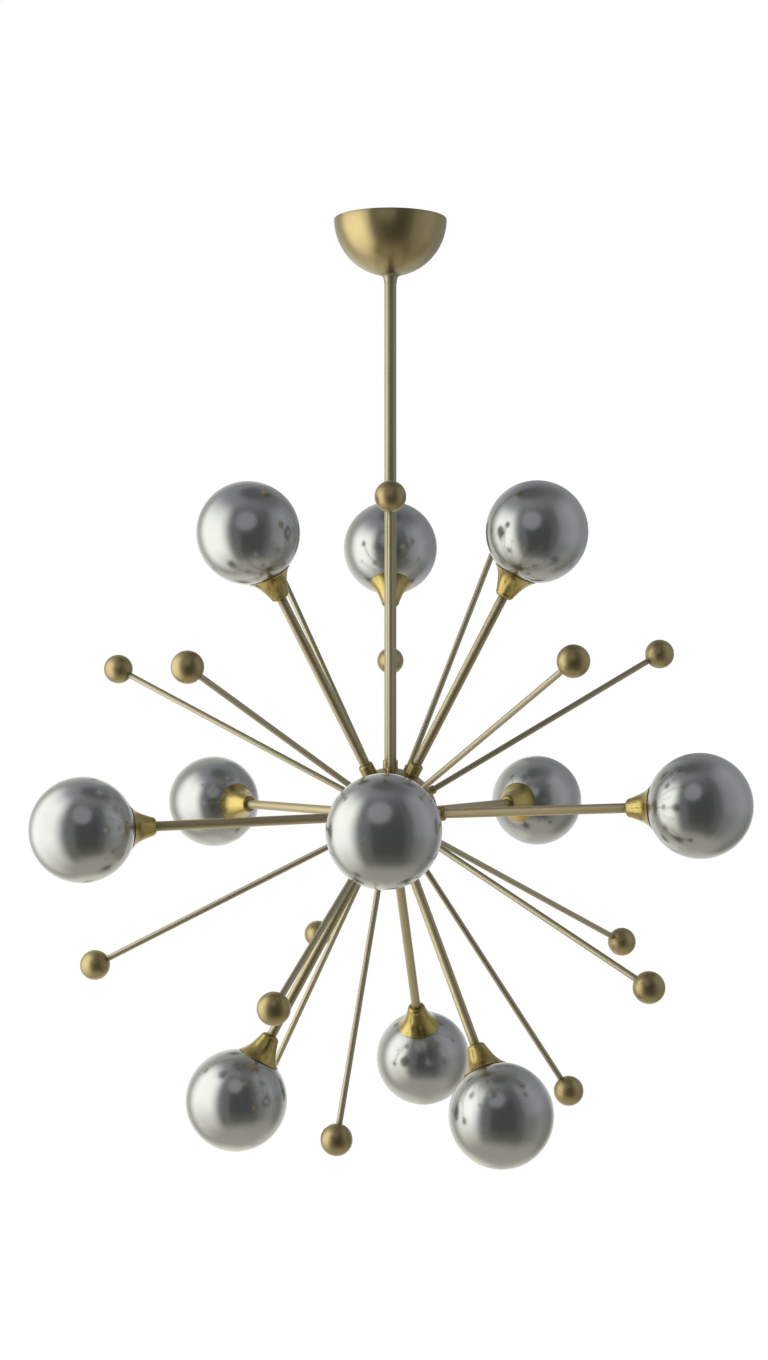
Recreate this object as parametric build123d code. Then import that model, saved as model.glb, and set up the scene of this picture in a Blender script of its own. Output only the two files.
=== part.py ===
from build123d import *

import os
from math import cos, radians, sin, sqrt

# Hanging chandelier: a brass ball on a rigid stem carries eleven tube arms with a smoked glass
# globe each, and sixteen thin rods with a brass ball each. A bowl-shaped canopy hides the ceiling
# bracket. Millimetres, +Z up. The origin is on the ceiling, where the bracket meets it.
# +X is the viewer's right and -Y is the front.

# Overall
HANG_DROP = 597.0  # ceiling to the centre of the hub ball
ARM_REACH = 320.0  # hub centre to globe centre
ROD_REACH = 335.0  # hub centre to the centre of a small ball

# Hub ball, two shells that meet a little below the middle
HUB_DIA = 95.0
HUB_WALL = 3.0
HUB_SPLIT = -12.0  # height of the joint line from the hub centre
HUB_LIP = 3.0  # how far the lower shell's lip rises inside the upper shell
HUB_LIP_WALL = 1.5

# Stem and what clamps the hub to it
STEM_DIA = 12.0
STEM_WALL = 1.0
STEM_INTO_HUB = 11.0  # length of stem below the top of the ball
STEM_FOOT_DIA = 15.0
STEM_FOOT_HEIGHT = 8.0
TIE_ROD_BORE = 7.0
TIE_ROD_IN_STEM = 20.0
CAP_NUT_DIA = 16.0
CAP_NUT_HEIGHT = 9.0
CAP_NUT_FLOOR = 3.0

# Arms and rods
ARM_DIA = 9.5
ARM_WALL = 1.0
ARM_COLLAR_DIA = 15.0
ARM_COLLAR_LENGTH = 12.0
ROD_DIA = 6.0
ROD_COLLAR_DIA = 9.0
ROD_COLLAR_LENGTH = 6.0
COLLAR_LAND = 0.2  # flat ring left at the small end of a ferrule
TAIL = 3.0  # arm and rod ends that show inside the hub wall
BALL_DIA = 30.0
ROD_INTO_BALL = 8.0

# Glass globe
GLOBE_DIA = 100.0
GLASS = 2.2
NECK_DIA = 22.0
NECK_WALL = 1.8
NECK_RISE = 5.5  # neck end above the pole of the sphere

# Brass cup behind each globe
CUP_WALL = 1.2
CUP_DEPTH = 26.5
CUP_RIM_DIA = 43.5
CUP_SHOULDER_DIA = 19.0
CUP_SHOULDER_ROUND = 4.5
CUP_WAIST_DIA = 25.2
CUP_WAIST_DEPTH = 13.0  # where the straight cone turns into the flared rim
CUP_FLARE_ANGLE = 20.0  # slope of the cone from the arm's line, degrees

# Inside each cup
RING_HEIGHT = 5.0
SOCKET_DIA = 16.0
SOCKET_LENGTH = 20.0
PIN_SPACING = 9.0
PIN_HOLE_DIA = 2.4
PIN_DIA = 1.4
PIN_LENGTH = 6.0
BULB_DIA = 15.0
BULB_BASE_LENGTH = 14.0
BULB_BASE_DIA = 14.0
BULB_TIP_ROUND = 6.5
BULB_LENGTH = 46.0
PIN_SPARE = 1.0  # pins into the bulb base, and hole left beyond the pins

# Canopy and its sliding collar
CANOPY_DIA = 113.0
CANOPY_WALL = 1.2
CANOPY_COLLAR_DIA = 17.5
CANOPY_COLLAR_WAIST_DIA = 15.0
CANOPY_COLLAR_END_DIA = 14.0
CANOPY_COLLAR_LENGTH = 8.0
SET_SCREW_DIA = 2.5
SET_SCREW_LENGTH = 1.8
SET_SCREW_RISE = 4.0  # above the lower end of the collar
KEY_HOLE_DIA = 1.3
KEY_HOLE_DEPTH = 0.9

# Ceiling bracket, a bent strap with two slots, and what hangs from it
STRAP = 2.0
STRAP_WIDTH = 16.0
STRAP_LENGTH = 96.0
STRAP_STEP = 10.0  # drop of the middle below the ends
STRAP_MIDDLE = 28.0
STRAP_SLOPE_RUN = 8.0
STRAP_BEND = 3.0
SLOT_SPACING = 70.0
SLOT_LENGTH = 12.0
SLOT_WIDTH = 5.0
EAR_WIDTH = 22.0
EAR_REACH = 16.0
NIPPLE_DIA = 10.0
NIPPLE_BORE = 7.0
NIPPLE_TOP = -4.5
NIPPLE_LENGTH = 30.0
NUT_FLATS = 14.0
NUT_HEIGHT = 3.5
COUPLER_DIA = 16.0
COUPLER_TOP = -24.0
COUPLER_LENGTH = 24.0
COUPLER_STEM_PART = 12.0
BLOCK_LENGTH = 20.0
BLOCK_WIDTH = 12.0
BLOCK_HEIGHT = 11.0
BLOCK_WAYS = 3
BLOCK_SCREW_DIA = 3.6
BLOCK_SCREW_DEPTH = 4.0

EDGE_BREAK = 1.0  # chamfers on the coupler, the terminal block and the sockets

# Clearances
THREAD_FIT = 0.05  # radial, between pieces that screw or press together
SLIDE_FIT = 0.08  # radial, canopy collar on the stem
NECK_FIT = 0.30  # radial, glass neck in its ring
SHELL_FIT = 0.30  # radial, canopy bowl round the stem
SEAT = 0.30  # cup rim off the glass
TOUCH = 0.02  # curved seats within one assembly

# Aims of the arms and rods: turn about the stem from the front, towards the viewer's right, and
# rise above the level of the hub, in degrees. Three arms point up, five lie level and three point
# down, and the lower half is turned by about a third of the spacing against the upper half.
ARM_AIMS = {
    "upper_left": (-59, 60),
    "upper_right": (67, 61),
    "upper_back": (180, 60),
    "middle_front": (-1, 1),
    "middle_left": (-65, -1),
    "middle_right": (66, 3),
    "middle_back_left": (-142, 0),
    "middle_back_right": (149, 0),
    "lower_left": (-79, -61),
    "lower_right": (41, -60),
    "lower_back": (168, -58),
}
ROD_AIMS = {
    "top": [(0, 67), (112, 67), (-120, 62)],
    "upper": [(-109, 26), (-37, 26), (33, 27), (107, 29), (180, 28)],
    "lower": [(-93, -27), (-20, -27), (52, -26), (124, -26), (-164, -27)],
    "bottom": [(-18, -61), (98, -57), (-125, -61)],
}

# Sizes that follow from the ones above
hub_radius = HUB_DIA / 2
hub_inside = hub_radius - HUB_WALL
hub_centre = Location((0, 0, -HANG_DROP))
globe_radius = GLOBE_DIA / 2
neck_bore_radius = NECK_DIA / 2 - NECK_WALL
tail_start = hub_inside - TAIL
screw_start = STEM_DIA / 2 + THREAD_FIT  # inner end of the set screw, on the stem

# Places along an arm, all measured from the hub centre
rim_inside_radius = CUP_RIM_DIA / 2 - CUP_WALL
rim_place = ARM_REACH - sqrt((globe_radius + SEAT) ** 2 - rim_inside_radius**2)
cup_place = rim_place - CUP_DEPTH
cup_floor = cup_place + CUP_WALL
neck_place = ARM_REACH - globe_radius - NECK_RISE
socket_end = cup_floor + SOCKET_LENGTH


def aimed(aim, shape):
    """Turns a shape drawn along +Z from the hub centre to a pair of turn and rise angles."""
    turn, rise = radians(aim[0]), radians(aim[1])
    direction = (sin(turn) * cos(rise), -cos(turn) * cos(rise), sin(rise))
    place = Plane(origin=(0, 0, 0), z_dir=direction).location
    return hub_centre * place * shape


def cylinder(diameter, start, end):
    """Solid cylinder round Z from one height to another."""
    stands = (Align.CENTER, Align.CENTER, Align.MIN)
    return Pos(0, 0, start) * Cylinder(diameter / 2, end - start, align=stands)


def tube(diameter, bore, start, end):
    """Open tube round Z."""
    return cylinder(diameter, start, end) - cylinder(bore, start, end)


def turned(*edges):
    """Solid of revolution round Z of a closed outline drawn in the XZ plane."""
    return revolve(make_face(edges), Axis.Z)


def collar(diameter, bore, length, rounding):
    """Rounded ferrule that sits on the hub ball round an arm, a rod or the stem."""
    top = hub_radius + length
    body = cylinder(diameter, hub_radius - HUB_WALL, top)
    outer_rim = body.edges().filter_by(GeomType.CIRCLE).sort_by(Axis.Z)[-1]
    body = fillet(outer_rim, rounding)
    return body - cylinder(bore, 0, top) - Sphere(hub_radius + TOUCH)


# Ceiling bracket and the fittings inside the canopy


def ceiling_bracket():
    """Strap with its ends flat on the ceiling and its middle dropped to leave room for a nut."""
    half, middle, slope = STRAP_LENGTH / 2, STRAP_MIDDLE / 2, STRAP_SLOPE_RUN
    high, low = -STRAP / 2, -STRAP / 2 - STRAP_STEP
    path = FilletPolyline(
        (-half, 0, high),
        (-middle - slope, 0, high),
        (-middle, 0, low),
        (middle, 0, low),
        (middle + slope, 0, high),
        (half, 0, high),
        radius=STRAP_BEND,
    )
    section = Plane(origin=path @ 0, z_dir=path % 0, x_dir=(0, 1, 0)) * Rectangle(STRAP_WIDTH, STRAP)
    strap = sweep(section, path)
    ear = Pos(0, EAR_REACH / 2, low) * Box(EAR_WIDTH, STRAP_WIDTH + EAR_REACH, STRAP)
    slot = Pos(0, 0, -STRAP) * extrude(SlotOverall(SLOT_LENGTH, SLOT_WIDTH), STRAP)
    slots = [Pos(side * SLOT_SPACING / 2, 0, 0) * slot for side in (-1, 1)]
    nipple_hole = cylinder(NIPPLE_DIA + 2 * THREAD_FIT, low - STRAP, low + STRAP)
    return strap + ear - slots - nipple_hole


def bracket_nipple():
    """Hollow threaded tube through the middle of the bracket; the wires pass through it."""
    return tube(NIPPLE_DIA, NIPPLE_BORE, NIPPLE_TOP - NIPPLE_LENGTH, NIPPLE_TOP)


def nipple_nut(base):
    """Hexagon nut on the nipple, from a given height up."""
    blank = Pos(0, 0, base) * extrude(RegularPolygon(NUT_FLATS / 2, 6, major_radius=False), NUT_HEIGHT)
    return blank - cylinder(NIPPLE_DIA + 2 * THREAD_FIT, base, base + NUT_HEIGHT)


def nipple_nuts():
    """One nut above the strap and one below, clamped on it."""
    return [nipple_nut(-STRAP_STEP), nipple_nut(-STRAP_STEP - STRAP - NUT_HEIGHT)]


def stem_coupler():
    """Round coupling that joins the nipple to the top of the stem."""
    bottom = COUPLER_TOP - COUPLER_LENGTH
    stem_top = bottom + COUPLER_STEM_PART
    body = cylinder(COUPLER_DIA, bottom, COUPLER_TOP)
    body = chamfer(body.edges().filter_by(GeomType.CIRCLE), EDGE_BREAK)
    body -= cylinder(STEM_DIA + 2 * THREAD_FIT, bottom, stem_top)
    return body - cylinder(NIPPLE_DIA + 2 * THREAD_FIT, stem_top, COUPLER_TOP)


def terminal_block():
    """Three-way wire connector under the ear of the bracket."""
    top = -STRAP_STEP - STRAP
    side = STRAP_WIDTH / 2 + EAR_REACH - BLOCK_WIDTH / 2
    body = Pos(0, side, top - BLOCK_HEIGHT / 2) * Box(BLOCK_LENGTH, BLOCK_WIDTH, BLOCK_HEIGHT)
    body = chamfer(body.edges().filter_by(Axis.Z), EDGE_BREAK)
    pitch = BLOCK_LENGTH / BLOCK_WAYS
    for way in range(BLOCK_WAYS):
        across = (way - (BLOCK_WAYS - 1) / 2) * pitch
        screw_well = cylinder(BLOCK_SCREW_DIA, top - BLOCK_HEIGHT, top - BLOCK_HEIGHT + BLOCK_SCREW_DEPTH)
        wire_way = Rot(90, 0, 0) * cylinder(BLOCK_SCREW_DIA, -BLOCK_WIDTH / 2, BLOCK_WIDTH / 2)
        body -= Pos(across, side, 0) * screw_well
        body -= Pos(across, side, top - BLOCK_HEIGHT / 2) * wire_way
    return body


# Canopy, which slides down the stem to give access to the bracket


def canopy_shell():
    """Half-ball bowl with its rim on the ceiling and a hole for the stem at the bottom."""
    radius, inside = CANOPY_DIA / 2, CANOPY_DIA / 2 - CANOPY_WALL
    lower_half = Pos(0, 0, -CANOPY_DIA) * Box(2 * CANOPY_DIA, 2 * CANOPY_DIA, 2 * CANOPY_DIA)
    bowl = (Sphere(radius) - Sphere(inside)) & lower_half
    return bowl - cylinder(STEM_DIA + 2 * SHELL_FIT, -CANOPY_DIA, 0)


def canopy_collar():
    """Flared ring under the bowl that grips the stem and carries the canopy."""
    top_radius, end_radius = CANOPY_COLLAR_DIA / 2, CANOPY_COLLAR_END_DIA / 2
    top = -CANOPY_DIA / 2 + CANOPY_WALL
    end = -CANOPY_DIA / 2 - CANOPY_COLLAR_LENGTH
    waist = (CANOPY_COLLAR_WAIST_DIA / 2, 0, (top + end) / 2)
    body = turned(
        Line((0, 0, top), (top_radius, 0, top)),
        ThreePointArc((top_radius, 0, top), waist, (end_radius, 0, end)),
        Line((end_radius, 0, end), (0, 0, end)),
        Line((0, 0, end), (0, 0, top)),
    )
    body -= Sphere(CANOPY_DIA / 2 + TOUCH)
    body -= cylinder(STEM_DIA + 2 * SLIDE_FIT, end, top)
    return body - screw_bar(SET_SCREW_DIA + 2 * THREAD_FIT, screw_start, top_radius)


def screw_bar(diameter, start, end):
    """Cylinder on the line of the set screw, at the back of the collar."""
    height = -CANOPY_DIA / 2 - CANOPY_COLLAR_LENGTH + SET_SCREW_RISE
    return Pos(0, 0, height) * Rot(-90, 0, 0) * cylinder(diameter, start, end)


def collar_set_screw():
    """Socket set screw that clamps the collar to the stem."""
    end = screw_start + SET_SCREW_LENGTH
    screw = screw_bar(SET_SCREW_DIA, screw_start, end)
    return screw - screw_bar(KEY_HOLE_DIA, end - KEY_HOLE_DEPTH, end)


# Stem and hub


def stem_tube():
    """Straight tube from the coupler into the top of the hub ball."""
    top = COUPLER_TOP - COUPLER_LENGTH + COUPLER_STEM_PART
    bottom = -HANG_DROP + hub_radius - STEM_INTO_HUB
    return tube(STEM_DIA, STEM_DIA - 2 * STEM_WALL, bottom, top)


def stem_foot():
    """Ferrule round the stem on top of the hub ball."""
    rounding = (STEM_FOOT_DIA - STEM_DIA) / 2 - COLLAR_LAND
    return hub_centre * collar(STEM_FOOT_DIA, STEM_DIA + 2 * THREAD_FIT, STEM_FOOT_HEIGHT, rounding)


def hub_passages():
    """Every hole through the wall of the hub ball, one for each arm and rod."""
    arm_hole = cylinder(ARM_DIA + 2 * THREAD_FIT, tail_start, HUB_DIA)
    rod_hole = cylinder(ROD_DIA + 2 * THREAD_FIT, tail_start, HUB_DIA)
    arm_holes = [aimed(aim, arm_hole) for aim in ARM_AIMS.values()]
    rod_holes = [aimed(aim, rod_hole) for aims in ROD_AIMS.values() for aim in aims]
    return arm_holes + rod_holes


def hub_half(above):
    """The hollow ball above or below its joint line, before its holes."""
    side = 1 if above else -1
    keep = Pos(0, 0, HUB_SPLIT + side * HUB_DIA) * Box(2 * HUB_DIA, 2 * HUB_DIA, 2 * HUB_DIA)
    return (Sphere(hub_radius) - Sphere(hub_inside)) & keep


def hub_upper_shell():
    """Upper part of the hub ball, drilled for the stem and the upper two tiers."""
    stem_hole = cylinder(STEM_DIA + 2 * THREAD_FIT, 0, HUB_DIA)
    return hub_centre * (hub_half(True) - stem_hole) - hub_passages()


def hub_lower_shell():
    """Lower part of the hub ball, with a lip that centres it in the upper part."""
    lip_radius = sqrt(hub_inside**2 - HUB_SPLIT**2) - THREAD_FIT
    lip_bore = lip_radius - HUB_LIP_WALL
    lip_root = -sqrt(hub_inside**2 - lip_bore**2)
    lip = tube(2 * lip_radius, 2 * lip_bore, lip_root, HUB_SPLIT + HUB_LIP)
    tie_hole = cylinder(tie_rod_diameter() + 2 * THREAD_FIT, -HUB_DIA, 0)
    return hub_centre * (hub_half(False) + lip - tie_hole) - hub_passages()


def tie_rod_diameter():
    """The tie rod screws into the bore of the stem."""
    return STEM_DIA - 2 * STEM_WALL - 2 * THREAD_FIT


def hub_tie_rod():
    """Hollow threaded rod from the stem down through the hub, which holds both shells together."""
    top = hub_radius - STEM_INTO_HUB + TIE_ROD_IN_STEM
    bottom = -hub_radius - CAP_NUT_HEIGHT + CAP_NUT_FLOOR
    return hub_centre * tube(tie_rod_diameter(), TIE_ROD_BORE, bottom, top)


def hub_cap_nut():
    """Domed nut on the lower end of the tie rod."""
    bottom = -hub_radius - CAP_NUT_HEIGHT
    body = cylinder(CAP_NUT_DIA, bottom, -hub_inside)
    low_edge = body.edges().filter_by(GeomType.CIRCLE).sort_by(Axis.Z)[0]
    body = fillet(low_edge, CAP_NUT_HEIGHT / 2)
    body -= Sphere(hub_radius + TOUCH)
    return hub_centre * (body - cylinder(tie_rod_diameter() + 2 * THREAD_FIT, bottom + CAP_NUT_FLOOR, 0))


# Arms with their cups, sockets, bulbs and globes


def arm():
    """Tube from just inside the hub wall to the floor of the cup."""
    return tube(ARM_DIA, ARM_DIA - 2 * ARM_WALL, tail_start, cup_floor)


def arm_collar():
    """Ferrule at the root of an arm."""
    rounding = (ARM_COLLAR_DIA - ARM_DIA) / 2 - COLLAR_LAND
    return collar(ARM_COLLAR_DIA, ARM_DIA + 2 * THREAD_FIT, ARM_COLLAR_LENGTH, rounding)


def bell(inset):
    """Solid of the cup's outside drawn in by a wall: round shoulder, straight cone, flared rim."""
    floor = cup_place + inset
    shoulder = CUP_SHOULDER_DIA / 2 - inset
    corner = shoulder - CUP_SHOULDER_ROUND + inset
    shoulder_end = cup_place + CUP_SHOULDER_ROUND
    waist = (CUP_WAIST_DIA / 2 - inset, 0, cup_place + CUP_WAIST_DEPTH)
    rim = (CUP_RIM_DIA / 2 - inset, 0, rim_place)
    cone = (sin(radians(CUP_FLARE_ANGLE)), 0, cos(radians(CUP_FLARE_ANGLE)))
    return turned(
        Line((0, 0, floor), (corner, 0, floor)),
        TangentArc((corner, 0, floor), (shoulder, 0, shoulder_end), tangent=(1, 0, 0)),
        Line((shoulder, 0, shoulder_end), waist),
        TangentArc(waist, rim, tangent=cone),
        Line(rim, (0, 0, rim_place)),
        Line((0, 0, rim_place), (0, 0, floor)),
    )


def cup():
    """Spun brass bell that hides the lamp socket and seats the globe in its rim."""
    return bell(0) - bell(CUP_WALL) - cylinder(ARM_DIA + 2 * THREAD_FIT, cup_place, cup_floor)


def globe_ring():
    """Threaded ring pressed into the cup, which the neck of the globe screws into."""
    end = neck_place + RING_HEIGHT
    disc = cylinder(CUP_RIM_DIA, neck_place, end) & bell(CUP_WALL + THREAD_FIT)
    return disc - cylinder(NECK_DIA + 2 * NECK_FIT, neck_place, end)


def globe():
    """Blown glass ball with a short neck towards the arm."""
    inside = globe_radius - GLASS
    neck_radius = NECK_DIA / 2
    outer_join = ARM_REACH - sqrt(globe_radius**2 - neck_radius**2)
    inner_join = ARM_REACH - sqrt(inside**2 - neck_bore_radius**2)
    return turned(
        Line((neck_bore_radius, 0, neck_place), (neck_radius, 0, neck_place)),
        Line((neck_radius, 0, neck_place), (neck_radius, 0, outer_join)),
        ThreePointArc(
            (neck_radius, 0, outer_join), (globe_radius, 0, ARM_REACH), (0, 0, ARM_REACH + globe_radius)
        ),
        Line((0, 0, ARM_REACH + globe_radius), (0, 0, ARM_REACH + inside)),
        ThreePointArc(
            (0, 0, ARM_REACH + inside), (inside, 0, ARM_REACH), (neck_bore_radius, 0, inner_join)
        ),
        Line((neck_bore_radius, 0, inner_join), (neck_bore_radius, 0, neck_place)),
    )


def pin_pair(diameter, start, end):
    """Two parallel round pins, or their holes, either side of the arm's line."""
    pin = cylinder(diameter, start, end)
    return [Pos(side * PIN_SPACING / 2, 0, 0) * pin for side in (-1, 1)]


def lamp_socket():
    """Ceramic two-pin socket whose back fits the floor and shoulder of the cup."""
    body = cylinder(SOCKET_DIA, cup_floor, socket_end)
    far_edge = body.edges().filter_by(GeomType.CIRCLE).sort_by(Axis.Z)[-1]
    body = chamfer(far_edge, EDGE_BREAK) & bell(CUP_WALL + THREAD_FIT)
    return body - pin_pair(PIN_HOLE_DIA, socket_end - PIN_LENGTH - PIN_SPARE, socket_end)


def lamp_bulb():
    """Capsule lamp: a flat-ended base with two pins and a round-ended glass tube."""
    base_end = socket_end + BULB_BASE_LENGTH
    tip = socket_end + BULB_LENGTH
    capsule = cylinder(BULB_DIA, base_end, tip)
    far_edge = capsule.edges().filter_by(GeomType.CIRCLE).sort_by(Axis.Z)[-1]
    capsule = fillet(far_edge, BULB_TIP_ROUND)
    base = cylinder(BULB_BASE_DIA, socket_end, base_end)
    return base + capsule + pin_pair(PIN_DIA, socket_end - PIN_LENGTH, socket_end + PIN_SPARE)


# Rods with their balls


def rod():
    """Solid rod from just inside the hub wall into its ball."""
    return cylinder(ROD_DIA, tail_start, ROD_REACH - BALL_DIA / 2 + ROD_INTO_BALL)


def rod_collar():
    """Ferrule at the root of a rod."""
    rounding = (ROD_COLLAR_DIA - ROD_DIA) / 2 - COLLAR_LAND
    return collar(ROD_COLLAR_DIA, ROD_DIA + 2 * THREAD_FIT, ROD_COLLAR_LENGTH, rounding)


def ball():
    """Brass ball with a blind hole for the end of its rod."""
    hole_start = ROD_REACH - BALL_DIA
    hole_end = ROD_REACH - BALL_DIA / 2 + ROD_INTO_BALL + THREAD_FIT
    return Pos(0, 0, ROD_REACH) * Sphere(BALL_DIA / 2) - cylinder(
        ROD_DIA + 2 * THREAD_FIT, hole_start, hole_end
    )


def at_aims(aims, shape):
    """One copy of a shape for each aim."""
    return [aimed(aim, shape) for aim in aims]


def save(name, *shapes):
    """Writes one piece, or a group of like pieces, as a STEP file."""
    solids = [solid for shape in shapes for solid in shape.solids()]
    export_step(solids[0] if len(solids) == 1 else Compound(children=solids), f"parts/{name}.step")


def main():
    os.makedirs("parts", exist_ok=True)
    save("ceiling_bracket", ceiling_bracket())
    save("bracket_nipple", bracket_nipple())
    save("nipple_nuts", *nipple_nuts())
    save("stem_coupler", stem_coupler())
    save("terminal_block", terminal_block())
    save("canopy_shell", canopy_shell())
    save("canopy_collar", canopy_collar())
    save("collar_set_screw", collar_set_screw())
    save("stem_tube", stem_tube())
    save("stem_foot", stem_foot())
    save("hub_upper_shell", hub_upper_shell())
    save("hub_lower_shell", hub_lower_shell())
    save("hub_tie_rod", hub_tie_rod())
    save("hub_cap_nut", hub_cap_nut())

    for name, aim in ARM_AIMS.items():
        save(f"arm_{name}", aimed(aim, arm()))
        save(f"cup_{name}", aimed(aim, cup()))
        save(f"globe_{name}", aimed(aim, globe()))
    arm_aims = list(ARM_AIMS.values())
    save("arm_collars", *at_aims(arm_aims, arm_collar()))
    save("globe_rings", *at_aims(arm_aims, globe_ring()))
    save("lamp_sockets", *at_aims(arm_aims, lamp_socket()))
    save("lamp_bulbs", *at_aims(arm_aims, lamp_bulb()))

    for tier, aims in ROD_AIMS.items():
        save(f"rods_{tier}", *at_aims(aims, rod()))
        save(f"balls_{tier}", *at_aims(aims, ball()))
    rod_aims = [aim for aims in ROD_AIMS.values() for aim in aims]
    save("rod_collars", *at_aims(rod_aims, rod_collar()))


main()
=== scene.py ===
from math import atan2, cos, pi, radians, sin, sqrt

import bmesh
import bpy
import numpy as np
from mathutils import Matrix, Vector


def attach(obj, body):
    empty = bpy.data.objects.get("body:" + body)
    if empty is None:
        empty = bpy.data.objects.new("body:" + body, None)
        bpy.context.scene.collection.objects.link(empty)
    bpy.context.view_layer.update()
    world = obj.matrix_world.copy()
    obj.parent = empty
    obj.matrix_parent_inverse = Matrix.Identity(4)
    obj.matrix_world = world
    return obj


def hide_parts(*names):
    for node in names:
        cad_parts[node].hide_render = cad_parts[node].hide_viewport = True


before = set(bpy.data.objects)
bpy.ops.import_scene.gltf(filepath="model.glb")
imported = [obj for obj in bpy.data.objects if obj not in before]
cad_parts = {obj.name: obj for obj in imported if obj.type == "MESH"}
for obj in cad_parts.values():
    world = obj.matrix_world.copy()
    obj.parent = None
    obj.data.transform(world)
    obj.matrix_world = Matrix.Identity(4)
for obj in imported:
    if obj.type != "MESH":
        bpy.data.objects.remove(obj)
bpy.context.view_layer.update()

# Sizes are in millimetres. A place is a distance from the hub centre along a piece's own line: the
# stem's line points up, an arm's or a rod's points outwards.
MM = 0.001
HANG_DROP = 597.0
ARM_REACH = 320.0
ROD_REACH = 335.0
FIT = 0.05  # gap round a tube or a rod in its hole
LAND = 0.2  # flat ring left at the small end of a ferrule
SINK = 0.05  # how far a ferrule is let into the hub ball, so that no gap shows

# Hub ball, two shells with a groove between them
HUB_RADIUS = 47.5
HUB_INSIDE = HUB_RADIUS - 3.0
HUB_SPLIT = -12.0
GROOVE_ANGLE = 0.012  # radians of the ball taken off each shell's edge
GROOVE_HALF_WIDTH = 0.12
GROOVE_DEPTH = 0.5
TAIL_START = HUB_INSIDE - 3.0

# Arms and rods; a ferrule is its radius, its length and the rounding of its far edge
ARM_RADIUS = 4.75
ARM_BORE = ARM_RADIUS - 1.0
ARM_HOLE = ARM_RADIUS + FIT
ARM_FERRULE = (7.5, 12.0, 7.5 - ARM_RADIUS - LAND)
ROD_RADIUS = 3.0
ROD_HOLE = ROD_RADIUS + FIT
ROD_FERRULE = (4.5, 6.0, 4.5 - ROD_RADIUS - LAND)
BALL_RADIUS = 15.0
BALL_START = ROD_REACH - BALL_RADIUS
ROD_END = BALL_START + 8.0

# Globe
GLOBE_RADIUS = 50.0
GLOBE_INSIDE = GLOBE_RADIUS - 2.2
NECK_RADIUS = 11.0
NECK_BORE = NECK_RADIUS - 1.8
NECK_PLACE = ARM_REACH - GLOBE_RADIUS - 5.5
NECK_ROUNDING = 0.6

# Cup: its rim follows the ball of the globe at a small gap
CUP_WALL = 1.2
CUP_SEAT = 0.3
CUP_RIM_RADIUS = 21.75
RIM_PLACE = ARM_REACH - sqrt((GLOBE_RADIUS + CUP_SEAT) ** 2 - (CUP_RIM_RADIUS - CUP_WALL) ** 2)
CUP_PLACE = RIM_PLACE - 26.5
CUP_FLOOR = CUP_PLACE + CUP_WALL
CUP_SHOULDER_RADIUS = 9.5
CUP_SHOULDER_ROUNDING = 4.5
CUP_WAIST_RADIUS = 12.6
WAIST_PLACE = CUP_PLACE + 13.0
CUP_FLARE = radians(20.0)

# Stem, its ferrule and the domed nut under the hub
STEM_RADIUS = 6.0
STEM_BORE = STEM_RADIUS - 1.0
STEM_HOLE = STEM_RADIUS + FIT
STEM_START = HUB_RADIUS - 11.0
STEM_END = HANG_DROP - 36.0
STEM_FERRULE = (7.5, 8.0, 7.5 - STEM_RADIUS - LAND)
NUT_RADIUS = 8.0
NUT_HEIGHT = 9.0
NUT_DOME = 4.5
NUT_FLOOR = 3.0
NUT_GAP = 0.05  # off the hub ball

# Canopy bowl, and the flared ring under it as (place, radius) at its top, waist and end
BOWL_RADIUS = 56.5
BOWL_INSIDE = BOWL_RADIUS - 1.2
BOWL_HOLE = STEM_RADIUS + 0.3
BOWL_BOTTOM = HANG_DROP - BOWL_RADIUS
BOWL_RIM_ROUNDING = (BOWL_RADIUS - BOWL_INSIDE) / 2
OUTER_RIM_ANGLE = 0.006  # radians left for the rounded rim above each wall
INNER_RIM_ANGLE = 0.011
RING_TOP = (BOWL_BOTTOM + 0.98, 11.0)
RING_WAIST = (BOWL_BOTTOM - 1.73, 7.475)
RING_END = (BOWL_BOTTOM - 8.0, 6.3)
RING_BORE = STEM_RADIUS + 0.08
RING_GAP = 0.02  # off the bowl
RING_EDGE_GAP = 0.1  # of the flare's thin edge off the bowl

# Tops of the ferrules, where painted shade and grime sit at the joints
ARM_FERRULE_TOP = HUB_RADIUS + ARM_FERRULE[1]
ROD_FERRULE_TOP = HUB_RADIUS + ROD_FERRULE[1]
STEM_FERRULE_TOP = HUB_RADIUS + STEM_FERRULE[1]

WELD_DISTANCE = 1e-7  # metres
SHARP_ANGLE = radians(38.0)  # edges bent more than this stay crisp

# Points round each kind of turned piece
AROUND = {
    "globe": 112,
    "cup": 80,
    "arm": 40,
    "arm_ferrule": 48,
    "rod": 28,
    "rod_ferrule": 36,
    "ball": 64,
    "upper_shell": 112,
    "lower_shell": 112,
    "nut": 56,
    "stem": 56,
    "stem_ferrule": 56,
    "bowl": 144,
    "ring": 72,
}
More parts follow.
